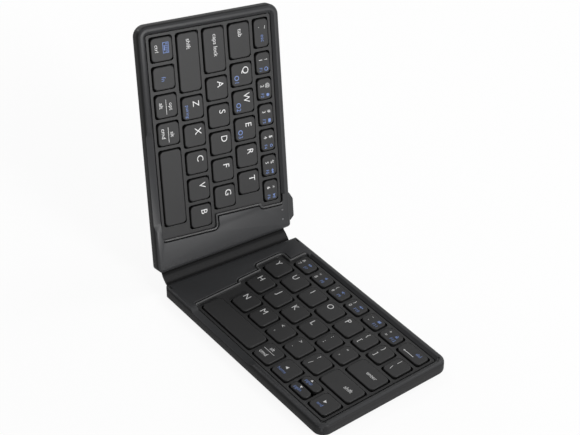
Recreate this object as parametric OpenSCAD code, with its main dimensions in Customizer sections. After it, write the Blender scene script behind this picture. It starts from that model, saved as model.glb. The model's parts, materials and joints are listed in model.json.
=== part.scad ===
// Folding keyboard: two splayed halves joined by a soft spine with two creases.
// Millimetres. The right half lies flat with its underside on z = 0 and the left
// half is folded up about the spine. The origin is the centre of the rest face.
// A half is drawn in its own plane: x runs outward from the crease, y runs from
// the front of the bottom key row to the back, and the left half is mirrored.

/* [Fold] */
// Bend of each of the two creases, counted from flat
crease_bend = 36.5; // [0:0.5:90]
// Angle between the key columns of a half and the crease
splay = 6; // [0:0.5:9]
// Distance between the two crease axes
crease_gap = 8; // [7:0.1:10]
// Gap left between the two rims when closed
closed_gap = 0.4; // [0.2:0.1:1]

/* [Halves] */
// Height of the rim above the table
rim_h = 8; // [7.5:0.1:10]
// Width of the raised rim
rim_w = 5.2; // [4.6:0.1:6.5]
// Plan radius of the outer corners
corner_r = 7; // [7:0.5:10]
// Plan radius of the corners beside the crease
crease_corner_r = 5; // [2:0.5:6]
// Rounding of the top edge along the crease
nose_r = 3.2; // [1:0.1:3.4]
// Rounding of the rim crest, outer side
crest_r = 2.4; // [1.5:0.1:2.8]
// Rounding of the bottom edge
base_r = 1.8; // [1:0.1:2.5]
// Height of the seam between bottom and top covers
seam_z = 4; // [3.6:0.1:4.4]
// Thickness of the floor
floor_t = 1.2; // [1:0.1:1.4]
// Thickness of the side walls
wall_t = 1.6; // [1.2:0.1:2]
// Thickness of the hinge margin panel
panel_t = 1.6; // [1.2:0.1:2]

/* [Key field] */
// Centre distance of the letter keys
pitch = 17; // [16:0.1:19]
// Space between neighbouring keys
key_gap = 2.5; // [2:0.1:3.5]
// Distance from the crease to the nearest key, left half
left_margin = 20.4; // [19:0.2:24]
// Distance from the crease to the nearest key, right half
right_margin = 17.8; // [16.6:0.2:22]
// Depth of the keys in the number row
number_h = 10.2; // [9:0.1:12]
// Width of the keys in the number row
number_w = 13.7; // [13:0.1:14.5]
// Width of the bracket and punctuation keys
narrow_w = 11.6; // [11:0.1:12.5]
// Width of the keys in the bottom row, right half
arrow_w = 14.8; // [14:0.1:15]
// Width of the left control key
ctrl_w = 15; // [14:0.1:16]
// Width of the left shift key
left_shift_w = 36.2; // [34:0.1:38]
// Width of the backslash key
backslash_w = 12; // [11:0.1:14]
// Border of the recess around the keys
deck_border = 2.4; // [2:0.1:3]

/* [Deck] */
// Height of the key deck surface
deck_z = 6.4; // [6:0.1:6.8]
// Thickness of the key deck
deck_t = 1.4; // [1:0.1:1.6]
// Groove between the key deck and the rim
deck_groove = 0.5; // [0.3:0.1:0.8]
// Width of the raised lip on the crease side of the deck
lip_w = 1.3; // [1:0.1:1.8]
// Width of the ledge that carries the deck
ledge_w = 1.5; // [1:0.1:1.8]

/* [Front scoop] */
// Start of the lowered front rim, from the crease
scoop_start = 24; // [22:1:30]
// End of the lowered front rim, from the crease
scoop_end = 87; // [70:1:100]
// Height of the lowered front rim above the deck
scoop_step = 0.2; // [0.1:0.1:0.6]
// Length of the ramps at both ends of the scoop
scoop_ramp = 4; // [2:0.5:8]

/* [Corner grooves, right half] */
// Depth of the curved groove at each corner
nick_depth = 0.6; // [0.3:0.1:1]
// Width of a corner groove
nick_w = 1; // [0.6:0.1:1.2]
// Radius of the grooves at the outer corners
nick_outer_r = 3.8; // [3.4:0.1:4]
// Radius of the grooves beside the crease
nick_inner_r = 2.6; // [2:0.1:3]
// Turn of a corner groove
nick_turn = 70; // [40:5:90]

/* [Keys] */
// Height of the key tops
key_top = 7.5; // [7.2:0.1:7.8]
// Height of the underside of a key skirt
key_base = 4.9; // [4.6:0.1:5]
// Travel of a key
key_travel = 1.2; // [0.8:0.1:1.4]
// Draft of the key sides, each side
key_draft = 0.4; // [0.2:0.05:0.6]
// Plan radius of the key corners
key_r = 1.7; // [1.2:0.1:2]
// Thickness of the top of a key
key_wall = 1.1; // [0.9:0.1:1.3]
// Gap between a key and its opening in the deck
key_clear = 0.3; // [0.2:0.05:0.5]
// Gap between the up and down arrow keys
arrow_gap = 0.8; // [0.6:0.1:1.2]

/* [Switches] */
// Thickness of the steel support plate
plate_t = 0.5; // [0.4:0.05:0.6]
// Thickness of the switch membrane
membrane_t = 0.3; // [0.2:0.05:0.4]
// Radius of a rubber dome at its foot
dome_r = 2.3; // [2:0.1:2.5]
// Thickness of the scissor links
link_t = 0.6; // [0.5:0.05:0.8]
// Length of the foot of a scissor link along x
link_len = 8.2; // [7:0.1:9]
// Depth of the outer scissor link across y
link_w = 9; // [8:0.1:10]
// Running clearance between switch pieces
run_clear = 0.1; // [0.05:0.01:0.2]

/* [Spine] */
// Thickness of the spine
spine_t = 2; // [1.6:0.1:2.2]
// Length of the spine along the creases
spine_len = 86; // [80:1:88]
// Width of a crease on the side of the spine
crease_in = 1.2; // [1:0.1:1.5]
// Width of a crease on the side of a half
crease_out = 1.4; // [1.3:0.1:1.8]
// Thickness of the thin web at a crease
web_t = 0.9; // [0.7:0.05:1.1]
// Width of the flat cable through the spine
flex_w = 12; // [8:0.5:16]
// Thickness of the flat cable
flex_t = 0.2; // [0.15:0.05:0.3]
// Place of the flat cable along the crease, from its middle
flex_y = 14; // [8:1:20]

/* [Electronics] */
// Width of the charge socket
port_w = 9; // [8:0.1:9.2]
// Height of the charge socket
port_h = 3.2; // [2.8:0.1:3.4]
// Depth of the charge socket
port_d = 7; // [6:0.1:8]
// Centre of the charge socket, from the crease
port_x = 18.6; // [17:0.2:19]
// How far the socket housing stands out at the back
bump_out = 2.6; // [2:0.1:3.2]
// Width of the flat back of the socket housing
bump_w = 11.4; // [10:0.1:12]
// Length of the housing's ramp towards the crease
bump_ramp_in = 2.5; // [1:0.1:3]
// Length of the housing's ramp away from the crease
bump_ramp_out = 4.5; // [3:0.1:6]
// Distance from the number row's keys to the nearer indicator light
light_x = 7.3; // [6.5:0.1:8]
// Radius of an indicator light
light_r = 0.6; // [0.5:0.05:0.8]
// Distance between the two indicator lights
light_gap = 6.2; // [5:0.1:8]
// Battery size across the half
battery_w = 13; // [10:0.5:14]
// Battery size along the crease
battery_l = 32; // [24:1:34]
// Battery thickness
battery_t = 4.6; // [3:0.1:5]
// Thickness of the controller board
board_t = 0.8; // [0.6:0.1:1]
// Gap beside the controller board
board_gap = 1; // [0.5:0.1:1.5]
// Length of the controller board
board_l = 38; // [30:1:40]
// Side of the controller chip
chip_w = 8; // [5:0.5:9]

/* [Hidden] */
$fn = 32;

// Key rows from front to back; each key is [name, width], from the outer edge inward,
// and the key of width 0 fills its row.
key_w = pitch - key_gap;
half_key_h = (key_w - arrow_gap) / 2;
left_layout = [
  [["ctrl", ctrl_w], ["fn", key_w], ["option", key_w], ["command", key_w], ["space", 0]],
  [["shift", left_shift_w], ["z", key_w], ["x", key_w], ["c", key_w], ["v", key_w], ["b", key_w]],
  [["caps", 0], ["a", key_w], ["s", key_w], ["d", key_w], ["f", key_w], ["g", key_w]],
  [["tab", 0], ["q", key_w], ["w", key_w], ["e", key_w], ["r", key_w], ["t", key_w]],
  [["esc", 0], ["1", number_w], ["2", number_w], ["3", number_w], ["4", number_w],
   ["5", number_w], ["6", number_w]]
];
right_layout = [
  [["right", arrow_w], ["updown", arrow_w], ["left", arrow_w], ["alt", arrow_w], ["space", 0]],
  [["shift", 0], ["/", key_w], [".", key_w], [",", key_w], ["m", key_w], ["n", key_w]],
  [["enter", 0], ["'", narrow_w], [";", narrow_w], ["l", key_w], ["k", key_w],
   ["j", key_w], ["h", key_w]],
  [["\\", backslash_w], ["]", narrow_w], ["[", narrow_w], ["p", key_w], ["o", key_w],
   ["i", key_w], ["u", key_w], ["y", key_w]],
  [["delete", 0], ["=", number_w], ["-", number_w], ["0", number_w], ["9", number_w],
   ["8", number_w], ["7", number_w]]
];
// How far past the margin the innermost key of each row starts
left_starts = [5.2, 0, 8.7, 14.2, 6];
right_starts = [8, 13.8, 5.2, 0, 8.8];
// Length of the row that starts at the margin
left_span = row_len(left_layout[1]);
right_span = row_len(right_layout[3]);
left_reach = left_margin + left_span;
right_reach = right_margin + right_span;
left_rows = filled_rows(left_layout, left_starts, left_span);
right_rows = filled_rows(right_layout, right_starts, right_span);
// Rows that share one step of the recess edge beside the crease.
left_steps = [[0, 1], [2, 3], [4]];
right_steps = [[0, 1], [2], [3], [4]];

recess_r = corner_r - rim_w;
field_depth = 4 * pitch + number_h;
front_y = -(deck_border + rim_w);
back_y = field_depth + deck_border + rim_w;
mid_y = field_depth / 2;
crease_z = rim_h + closed_gap / 2 - crease_gap / 2;
origin_x = (right_reach + deck_border + rim_w) / 2;
plate_z = floor_t;
membrane_z = plate_z + plate_t;
dome_z = membrane_z + membrane_t;
scoop_z = deck_z + scoop_step;
ledge_z = deck_z - deck_t;
ledge_t = 0.8;
crest_flat = 1;
link_side = 2.2;
link_front = 1.3;
link_low = dome_z + run_clear + link_t / 2;
cap_inner_z = key_top - key_wall;
link_high = cap_inner_z - run_clear - link_t / 2;
slot_gap = 0.3;
web_slot = 0.15;
boss_r = 1.1;
clip_t = 0.5;
clip_w = 2;
dome_top = key_base + 0.2;
port_z = 2.7;
port_wall = 0.35;
bump_root = 2;
bump_side = 1;
board_z = port_z - board_t;
board_back = back_y - wall_t - slot_gap - run_clear;
light_y = field_depth + 1.7;
slack = 20;
tall = 20;
lap = 0.1;
cable_reach_left = 14;
cable_end_gap = 3;
eps = 0.01;

function row_y(r) = r * pitch;
function row_h(r) = r == 4 ? number_h : key_w;
function width_sum(row, i) = i == 0 ? 0 : width_sum(row, i - 1) + row[i - 1][1] + key_gap;
function row_len(row) = width_sum(row, len(row)) - key_gap;
function filled(row, span) = [
  for (k = row) k[1] == 0 ? [k[0], span - row_len(row)] : k
];
function filled_rows(layout, starts, span) = [
  for (r = [0:4]) filled(layout[r], span - starts[r])
];
// Each half's frame sets $reach to its own distance from crease to outer key edge
function half_len() = $reach + deck_border + rim_w;
function key_hi(row, i) = $reach - width_sum(row, i);
function key_lo(row, i) = key_hi(row, i) - row[i][1];
function inner_edge(row) = key_lo(row, len(row) - 1);
function step_x(rows, group) = min([for (r = group) inner_edge(rows[r])]) - deck_border;
function deepest(rows, steps) = max([for (g = steps) step_x(rows, g)]);
function first_of(g) = g[0];
function last_of(g) = g[len(g) - 1];
// x in a half of the line that lies off beyond the crease axis, at depth y
function crease_x(off, y) = (off + (y - mid_y) * sin(splay)) / cos(splay);
// Width of the seat around the recess, outside the recess edge
seat_w = lip_w + deck_groove + wall_t;

// ---- frames ------------------------------------------------------------------

module right_frame() {
  $reach = right_reach;
  translate([-origin_x, -mid_y, 0]) children();
}

module right_crease_frame() {
  translate([-origin_x, 0, crease_z]) rotate([0, 0, -splay]) children();
}

module spine_frame() {
  right_crease_frame() rotate([0, crease_bend, 0]) children();
}

module left_crease_frame() {
  spine_frame() translate([-crease_gap, 0, 0]) rotate([0, crease_bend, 0]) children();
}

module left_frame() {
  $reach = left_reach;
  left_crease_frame() rotate([0, 0, -splay]) mirror([1, 0, 0])
    translate([0, -mid_y, -crease_z]) children();
}

// Turns a half's plan so that y runs along the crease and x starts on its axis
module along_crease() {
  translate([0, mid_y, 0]) rotate([0, 0, -splay]) children();
}

// ---- plan shapes -------------------------------------------------------------

module rounded_rect(w, h, r) {
  translate([r, 0]) square([w - 2 * r, h]);
  translate([0, r]) square([w, h - 2 * r]);
  for (x = [r, w - r], y = [r, h - r]) translate([x, y]) circle(r);
}

module recess_plan(rows, steps) {
  offset(r = recess_r) offset(delta = -recess_r)
    offset(r = -recess_r / 2) offset(delta = recess_r / 2)
      for (g = steps) {
        y0 = row_y(first_of(g)) - deck_border;
        y1 = row_y(last_of(g)) + row_h(last_of(g)) + deck_border;
        x0 = step_x(rows, g);
        translate([x0, y0]) square([$reach + deck_border - x0, y1 - y0]);
      }
}

// Area beside the crease, where the deck has its lip
module crease_side(rows, steps) {
  margin = deck_border - deck_groove;
  translate([0, -margin]) square([deepest(rows, steps) + lip_w, field_depth + 2 * margin]);
}

// Recess widened by grow on the crease side only
module lipped_plan(rows, steps, grow) {
  recess_plan(rows, steps);
  intersection() {
    crease_side(rows, steps);
    offset(r = grow) recess_plan(rows, steps);
  }
}

module key_openings(rows) {
  for (r = [0:4], i = [0:len(rows[r]) - 1])
    translate([key_lo(rows[r], i) - key_clear, row_y(r) - key_clear])
      rounded_rect(rows[r][i][1] + 2 * key_clear, row_h(r) + 2 * key_clear, key_r);
}

module bump_plan() {
  x0 = port_x - port_w / 2 - bump_side;
  x1 = x0 + bump_w;
  offset(r = bump_side) offset(delta = -bump_side) polygon([
    [x0 - bump_ramp_in, back_y - bump_root], [x0 - bump_ramp_in, back_y],
    [x0, back_y + bump_out], [x1, back_y + bump_out],
    [x1 + bump_ramp_out, back_y], [x1 + bump_ramp_out, back_y - bump_root]
  ]);
}

// ---- shells ------------------------------------------------------------------

// Extrudes a profile (x = inward from the wall, y = up) back from the end of a corner
module wall_run(length, side) {
  translate([corner_r, 0, 0]) mirror([1, 0, 0]) mirror([0, side, 0]) rotate([90, 0, 0])
    linear_extrude(length) children();
}

// Sweeps such a profile round the three free sides, each half about a corner's centre
module swept_wall() {
  depth = (back_y - front_y) / 2 - corner_r;
  for (c = [[front_y + corner_r, 1], [back_y - corner_r, 0]])
    translate([half_len() - corner_r, c[0], 0]) mirror([0, c[1], 0]) {
      rotate_extrude(angle = 90) translate([corner_r, 0]) mirror([1, 0]) children();
      wall_run(depth + lap, 0) children();
      rotate([0, 0, 90]) wall_run(half_len() - corner_r + slack, 1) children();
    }
}

// Sweeps the same kind of profile along the crease
module crease_sweep(run) {
  along_crease() translate([crease_out, run / 2, 0]) rotate([90, 0, 0])
    linear_extrude(run) children();
}

module crease_wall() {
  crease_sweep(back_y - front_y + slack) children();
}

// Removes the sharp edge along the crease at height z, dir 1 for the top edge
module crease_round(r, z, dir) {
  crease_sweep(2 * half_len()) translate([0, z]) mirror([0, dir > 0 ? 1 : 0]) difference() {
    translate([-1, -1]) square([1 + r, 1 + r]);
    translate([r, r]) circle(r);
  }
}

// Waste outside the rounded plan corner beside the crease, side -1 at the front
module corner_waste(side) {
  y0 = side < 0 ? front_y : back_y;
  centre = [crease_x(crease_out, y0) + crease_corner_r / tan(45 + side * splay / 2),
            y0 - side * crease_corner_r];
  out = [-cos(splay), sin(splay)];
  difference() {
    polygon([
      [centre[0], y0], [centre[0], y0 + side * slack], [centre[0] - 2 * slack, y0 + side * slack],
      centre + 2 * slack * out, centre + crease_corner_r * out, centre
    ]);
    translate(centre) circle(crease_corner_r);
  }
}

// Keeps the side of the half and rounds its two corners beside the crease
module crease_trim() {
  difference() {
    intersection() {
      union() children();
      crease_sweep(2 * half_len()) translate([0, -tall]) square([half_len() + slack, 2 * tall]);
    }
    for (side = [-1, 1])
      translate([0, 0, -1]) linear_extrude(tall) corner_waste(side);
  }
}

module quarter(r) {
  intersection() {
    translate([r, 0]) circle(r);
    square(r);
  }
}

module base_profile() {
  translate([0, base_r]) mirror([0, 1]) quarter(base_r);
  translate([0, base_r]) square([wall_t, seam_z - base_r]);
  translate([base_r, 0]) square([corner_r - base_r - lap, floor_t]);
}

module crest_profile() {
  foot = rim_w - crest_r - crest_flat;
  shoulder = rim_h - crest_r;
  translate([0, shoulder]) quarter(crest_r);
  translate([0, seam_z]) square([wall_t, shoulder - seam_z]);
  polygon([
    [crest_r, rim_h], [rim_w - foot, rim_h], [rim_w, deck_z], [rim_w, ledge_z - ledge_t],
    [wall_t, ledge_z - ledge_t], [wall_t, shoulder], [crest_r, shoulder]
  ]);
}

module cable_slot() {
  along_crease() translate([0, flex_y - flex_w / 2 - slot_gap, crease_z - slot_gap - flex_t / 2])
    cube([crease_out + wall_t + 2, flex_w + 2 * slot_gap, flex_t + 2 * slot_gap]);
}

module bottom_cover() {
  edge = corner_r - 2 * lap;
  difference() {
    crease_trim() {
      swept_wall() base_profile();
      translate([-slack, front_y + edge, 0])
        cube([half_len() + slack - edge, back_y - front_y - 2 * edge, floor_t]);
      crease_wall() square([wall_t, seam_z]);
    }
    crease_round(base_r, 0, -1);
    cable_slot();
  }
}

// Flat panel over the margin beside the crease
module margin_panel(rows, steps) {
  translate([-slack, front_y + crest_r]) square([
    deepest(rows, steps) + slack + 2 * lip_w, back_y - front_y - 2 * crest_r]);
}

// Ledge that the deck rests on, with a wall beside the deck's lip
module deck_seat(rows, steps) {
  translate([0, 0, ledge_z - ledge_t]) linear_extrude(ledge_t) difference() {
    offset(r = seat_w) recess_plan(rows, steps);
    offset(delta = -ledge_w) recess_plan(rows, steps);
  }
  translate([0, 0, ledge_z - eps]) linear_extrude(rim_h - panel_t - ledge_z + 2 * eps) difference() {
    lipped_plan(rows, steps, seat_w);
    lipped_plan(rows, steps, lip_w + deck_groove);
  }
}

module scoop_cut() {
  rise = rim_h - scoop_z;
  over = 1 + 1 / rise;
  translate([0, front_y + rim_w + deck_groove, 0]) rotate([90, 0, 0]) linear_extrude(rim_w + 2) polygon([
    [scoop_start + scoop_ramp - scoop_ramp * over, rim_h + 1], [scoop_start + scoop_ramp, scoop_z],
    [scoop_end - scoop_ramp, scoop_z], [scoop_end - scoop_ramp + scoop_ramp * over, rim_h + 1]
  ]);
}

module top_cover(rows, steps) {
  difference() {
    crease_trim() {
      swept_wall() crest_profile();
      translate([0, 0, rim_h - panel_t]) linear_extrude(panel_t) margin_panel(rows, steps);
      deck_seat(rows, steps);
      crease_wall() translate([0, seam_z]) square([wall_t, rim_h - seam_z]);
    }
    translate([0, 0, ledge_z]) linear_extrude(rim_h) lipped_plan(rows, steps, lip_w + deck_groove);
    scoop_cut();
    crease_round(nose_r, rim_h, 1);
    cable_slot();
  }
}

module key_deck(rows, steps) {
  difference() {
    union() {
      translate([0, 0, ledge_z]) linear_extrude(deck_t) difference() {
        union() {
          offset(delta = -deck_groove) recess_plan(rows, steps);
          intersection() {
            crease_side(rows, steps);
            offset(r = lip_w) recess_plan(rows, steps);
          }
        }
        key_openings(rows);
      }
      translate([0, 0, deck_z - eps]) linear_extrude(rim_h - deck_z + eps) intersection() {
        crease_side(rows, steps);
        difference() {
          offset(r = lip_w) recess_plan(rows, steps);
          recess_plan(rows, steps);
        }
      }
    }
    // the lip stops level with the lowered front rim
    scoop_cut();
  }
}

// ---- switches ----------------------------------------------------------------

function scissor_len(w) = min(link_len, w - 2 * link_side);
function scissor_w(h) = min(link_w, h - 2 * link_front);
// Keys of a half as [x, y, width, depth]; the arrow pair is two half keys
function boxes_of(rows, r, i) = rows[r][i][0] == "updown"
  ? [for (k = [0, 1]) [key_lo(rows[r], i), k * (half_key_h + arrow_gap), rows[r][i][1], half_key_h]]
  : [[key_lo(rows[r], i), row_y(r), rows[r][i][1], row_h(r)]];
function key_boxes(rows) = [
  for (r = [0:4], i = [0:len(rows[r]) - 1]) for (b = boxes_of(rows, r, i)) b
];

module at_centre(b) {
  translate([b[0] + b[2] / 2, b[1] + b[3] / 2, 0]) children();
}

module link_frame(foot, w, dir) {
  rise = link_high - link_low;
  tilt = atan(rise / foot);
  len = foot / cos(tilt);
  bar = link_t + 2 * run_clear;
  translate([0, 0, (link_low + link_high) / 2]) rotate([0, -dir * tilt, 0]) difference() {
    cube([len, w, link_t], center = true);
    cube([len - 2 * bar, w - 2 * link_t, link_t + 1], center = true);
  }
}

module scissor(b) {
  len = scissor_len(b[2]);
  w = scissor_w(b[3]);
  inner = w - 2 * link_t - 2 * run_clear;
  at_centre(b) {
    link_frame(len, w, 1);
    link_frame(len, inner, -1);
  }
}

module clip_plan(b, grow) {
  len = scissor_len(b[2]);
  at_clip = len / 2 + link_t / 2 + run_clear + clip_t / 2;
  for (s = [-1, 1]) at_centre(b) translate([s * at_clip - clip_t / 2 - grow, -clip_w / 2 - grow])
    square([clip_t + 2 * grow, clip_w + 2 * grow]);
}

module field_plan(rows, steps, inset) {
  offset(delta = -inset) recess_plan(rows, steps);
}

module support_plate(rows, steps) {
  translate([0, 0, plate_z]) linear_extrude(plate_t) field_plan(rows, steps, 0.6);
  translate([0, 0, plate_z]) linear_extrude(plate_t + membrane_t + link_t)
    for (b = key_boxes(rows)) clip_plan(b, 0);
}

module membrane(rows, steps) {
  translate([0, 0, membrane_z]) linear_extrude(membrane_t) difference() {
    field_plan(rows, steps, 1);
    for (b = key_boxes(rows)) clip_plan(b, run_clear);
  }
}

module dome(b) {
  scale_r = min(1, (scissor_w(b[3]) - 4 * link_t - 2 * run_clear) / (2 * dome_r + 0.4));
  r = dome_r * scale_r;
  at_centre(b) translate([0, 0, dome_z]) {
    cylinder(h = 0.3, r = r);
    translate([0, 0, 0.3]) cylinder(h = dome_top - dome_z - 0.3, r1 = r * 0.85, r2 = r * 0.5);
  }
}

// ---- keys --------------------------------------------------------------------

// Block with drafted sides and round corners, its foot w by h at the origin
module drafted_block(w, h, r, draft, height) {
  top_r = r - draft;
  for (x = [r, w - r], y = [r, h - r]) translate([x, y, 0]) cylinder(h = height, r1 = r, r2 = top_r);
  translate([r, h, 0]) rotate([90, 0, 90]) linear_extrude(w - 2 * r)
    mirror([1, 0]) polygon([[0, 0], [h, 0], [h - draft, height], [draft, height]]);
  translate([0, h - r, 0]) rotate([90, 0, 0]) linear_extrude(h - 2 * r)
    polygon([[0, 0], [w, 0], [w - draft, height], [draft, height]]);
}

module keycap(b) {
  skirt = 1;
  color([0.26, 0.26, 0.27]) {
    difference() {
      translate([b[0], b[1], key_base]) drafted_block(b[2], b[3], key_r, key_draft, key_top - key_base);
      translate([b[0] + skirt, b[1] + skirt, key_base - 1])
        cube([b[2] - 2 * skirt, b[3] - 2 * skirt, cap_inner_z - key_base + 1]);
    }
    at_centre(b) translate([0, 0, dome_top]) cylinder(h = cap_inner_z - dome_top + eps, r = boss_r);
  }
}

function has(list, x) = len([for (v = list) if (v == x) 1]) > 0;

module keys(rows, names) {
  for (r = [0:4], i = [0:len(rows[r]) - 1])
    if (has(names, rows[r][i][0]))
      for (b = boxes_of(rows, r, i)) keycap(b);
}

module left_keys(names) {
  left_frame() keys(left_rows, names);
}

module right_keys(names) {
  right_frame() keys(right_rows, names);
}

// ---- right half --------------------------------------------------------------

module right_bottom_cover() {
  color([0.16, 0.16, 0.17]) right_frame() bottom_cover();
}

// Curved groove about a corner's centre, its middle pointing at angle a
module corner_nick(x, y, r, a) {
  translate([x, y, rim_h - nick_depth]) rotate([0, 0, a - nick_turn / 2])
    rotate_extrude(angle = nick_turn) translate([r - nick_w / 2, 0]) square([nick_w, tall]);
}

module right_top_cover() {
  color([0.2, 0.2, 0.21]) right_frame() difference() {
    top_cover(right_rows, right_steps);
    for (side = [-1, 1]) {
      edge_y = side < 0 ? front_y : back_y;
      corner_nick(half_len() - corner_r, edge_y - side * corner_r, nick_outer_r, side * 45);
      corner_nick(crease_x(crease_out, edge_y) + crease_corner_r, edge_y - side * crease_corner_r,
                  nick_inner_r, side * 90);
    }
  }
}

module right_key_deck() {
  color([0.23, 0.23, 0.24]) right_frame() key_deck(right_rows, right_steps);
}

module right_support_plate() {
  color([0.7, 0.71, 0.72]) right_frame() support_plate(right_rows, right_steps);
}

module right_membrane() {
  color([0.8, 0.84, 0.82]) right_frame() membrane(right_rows, right_steps);
}

module right_domes() {
  color([0.85, 0.85, 0.83]) right_frame() for (b = key_boxes(right_rows)) dome(b);
}

module right_scissors() {
  color([0.9, 0.9, 0.88]) right_frame() for (b = key_boxes(right_rows)) scissor(b);
}

module battery() {
  gap = 0.5;
  y0 = front_y + rim_w + gap;
  x0 = crease_x(crease_out + wall_t + gap, y0 + battery_l);
  color([0.55, 0.57, 0.6]) right_frame() translate([x0, y0, floor_t])
    cube([battery_w, battery_l, battery_t]);
}

// ---- left half ---------------------------------------------------------------

module port_cut(grow) {
  translate([port_x - port_w / 2 - grow, back_y + bump_out - port_d, port_z - grow])
    cube([port_w + 2 * grow, port_d + 1, port_h + 2 * grow]);
}

module left_bottom_cover() {
  color([0.16, 0.16, 0.17]) left_frame() difference() {
    union() {
      bottom_cover();
      translate([0, 0, 0.6]) linear_extrude(seam_z - 0.6) bump_plan();
    }
    port_cut(run_clear);
  }
}

module left_top_cover() {
  color([0.2, 0.2, 0.21]) left_frame() difference() {
    union() {
      top_cover(left_rows, left_steps);
      translate([0, 0, seam_z]) linear_extrude(rim_h - 1.2 - seam_z) difference() {
        bump_plan();
        translate([0, back_y - tall]) square([half_len(), tall - wall_t]);
      }
    }
    port_cut(run_clear);
    for (k = [0, 1]) light_at(k) cylinder(h = tall, r = light_r + run_clear);
  }
}

module left_key_deck() {
  color([0.23, 0.23, 0.24]) left_frame() key_deck(left_rows, left_steps);
}

module left_support_plate() {
  color([0.7, 0.71, 0.72]) left_frame() support_plate(left_rows, left_steps);
}

module left_membrane() {
  color([0.8, 0.84, 0.82]) left_frame() membrane(left_rows, left_steps);
}

module left_domes() {
  color([0.85, 0.85, 0.83]) left_frame() for (b = key_boxes(left_rows)) dome(b);
}

module left_scissors() {
  color([0.9, 0.9, 0.88]) left_frame() for (b = key_boxes(left_rows)) scissor(b);
}

module light_at(k) {
  x = inner_edge(left_rows[4]) - light_x - k * light_gap;
  translate([x, light_y, board_z + board_t]) children();
}

module controller_board() {
  board_y = board_back - board_l;
  board_top = board_z + board_t - eps;
  post = 2;
  color([0.1, 0.35, 0.2]) left_frame() {
    x0 = crease_x(crease_out + wall_t + board_gap, board_back);
    x1 = step_x(left_rows, [4]) - board_gap;
    translate([x0, board_y, board_z]) cube([x1 - x0, board_l, board_t]);
    for (x = [x0, x1 - post], y = [board_y, board_back - post])
      translate([x, y, floor_t]) cube([post, post, board_z - floor_t + eps]);
    translate([x1 - chip_w - board_gap, board_back - port_d - chip_w - 2 * board_gap, board_top])
      cube([chip_w, chip_w, 1]);
    // socket for the flat cable
    along_crease() translate([cable_reach_left - 3, flex_y - flex_w / 2, board_top])
      cube([3, flex_w, crease_z - flex_t / 2 - board_top]);
  }
}

module charge_socket() {
  color([0.75, 0.76, 0.78]) left_frame() difference() {
    translate([port_x - port_w / 2, back_y + bump_out - port_d, port_z]) cube([port_w, port_d - 0.3, port_h]);
    translate([port_x - port_w / 2 + port_wall, back_y + bump_out - port_d + 1, port_z + port_wall])
      difference() {
        cube([port_w - 2 * port_wall, port_d, port_h - 2 * port_wall]);
        translate([1.2, -1, (port_h - 2 * port_wall) / 2 - 0.35])
          cube([port_w - 2 * port_wall - 2.4, port_d - 1, 0.7]);
      }
  }
}

module indicator_lights() {
  color([0.85, 0.9, 1]) left_frame() for (k = [0, 1])
    light_at(k) cylinder(h = rim_h - board_z - board_t, r = light_r);
}

// ---- spine -------------------------------------------------------------------

module spine_band() {
  w = crease_gap - 2 * crease_in;
  r = spine_t / 2 - 0.1;
  color([0.19, 0.19, 0.2]) spine_frame() difference() {
    run_along_crease(spine_len, 0) translate([-crease_in - w, -spine_t / 2]) rounded_rect(w, spine_t, r);
    translate([-crease_gap, flex_y - flex_w / 2 - web_slot, -flex_t / 2 - web_slot])
      cube([crease_gap, flex_w + 2 * web_slot, flex_t + 2 * web_slot]);
  }
}

// Bent section of a strip at the right crease, mitred on the crease axis. One leg
// runs out into the half and the other in towards the middle of the spine.
module bent_section(out_len, in_len, thick) {
  h = thick / 2;
  mitre = [-tan(crease_bend / 2), 1];
  along = [cos(crease_bend), sin(crease_bend)];
  across = [-sin(crease_bend), cos(crease_bend)];
  polygon([
    out_len * along + h * across, h * mitre, [-in_len, h],
    [-in_len, -h], -h * mitre, out_len * along - h * across
  ]);
}

module run_along_crease(len, y) {
  translate([0, y + len / 2, 0]) rotate([90, 0, 0]) linear_extrude(len) children();
}

module crease_web() {
  difference() {
    run_along_crease(spine_len - 2, 0) bent_section(crease_out, crease_in, web_t);
    run_along_crease(flex_w + 2 * web_slot, flex_y)
      bent_section(crease_out + 1, crease_in + 1, flex_t + 2 * web_slot);
  }
}

module at_left_crease() {
  translate([-crease_gap, 0, 0]) mirror([1, 0, 0]) children();
}

module right_crease_web() {
  color([0.13, 0.13, 0.14]) spine_frame() crease_web();
}

module left_crease_web() {
  color([0.13, 0.13, 0.14]) spine_frame() at_left_crease() crease_web();
}

module flat_cable() {
  color([0.8, 0.5, 0.2]) spine_frame() run_along_crease(flex_w, flex_y) {
    bent_section(right_margin - deck_border - seat_w - cable_end_gap, crease_gap / 2 + eps, flex_t);
    at_left_crease() bent_section(cable_reach_left, crease_gap / 2 + eps, flex_t);
  }
}

// ---- drawing -----------------------------------------------------------------

right_bottom_cover();
right_top_cover();
right_key_deck();
right_support_plate();
right_membrane();
right_domes();
right_scissors();
battery();
left_bottom_cover();
left_top_cover();
left_key_deck();
left_support_plate();
left_membrane();
left_domes();
left_scissors();
controller_board();
charge_socket();
indicator_lights();
spine_band();
right_crease_web();
left_crease_web();
flat_cable();
left_keys(["tab"]);  // key_tab
left_keys(["caps"]);  // key_caps_lock
left_keys(["shift"]);  // key_shift_left
left_keys(["space"]);  // key_space_left
left_keys(["esc", "1", "2", "3", "4", "5", "6"]);  // keys_number_row_left
left_keys(["ctrl", "fn", "option", "command"]);  // keys_modifier_left
left_keys(["q"]);  // key_q
left_keys(["w"]);  // key_w
left_keys(["e"]);  // key_e
left_keys(["r"]);  // key_r
left_keys(["t"]);  // key_t
left_keys(["a"]);  // key_a
left_keys(["s"]);  // key_s
left_keys(["d"]);  // key_d
left_keys(["f"]);  // key_f
left_keys(["g"]);  // key_g
left_keys(["z"]);  // key_z
left_keys(["x"]);  // key_x
left_keys(["c"]);  // key_c
left_keys(["v"]);  // key_v
left_keys(["b"]);  // key_b
right_keys(["enter"]);  // key_enter
right_keys(["shift"]);  // key_shift_right
right_keys(["space"]);  // key_space_right
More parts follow.
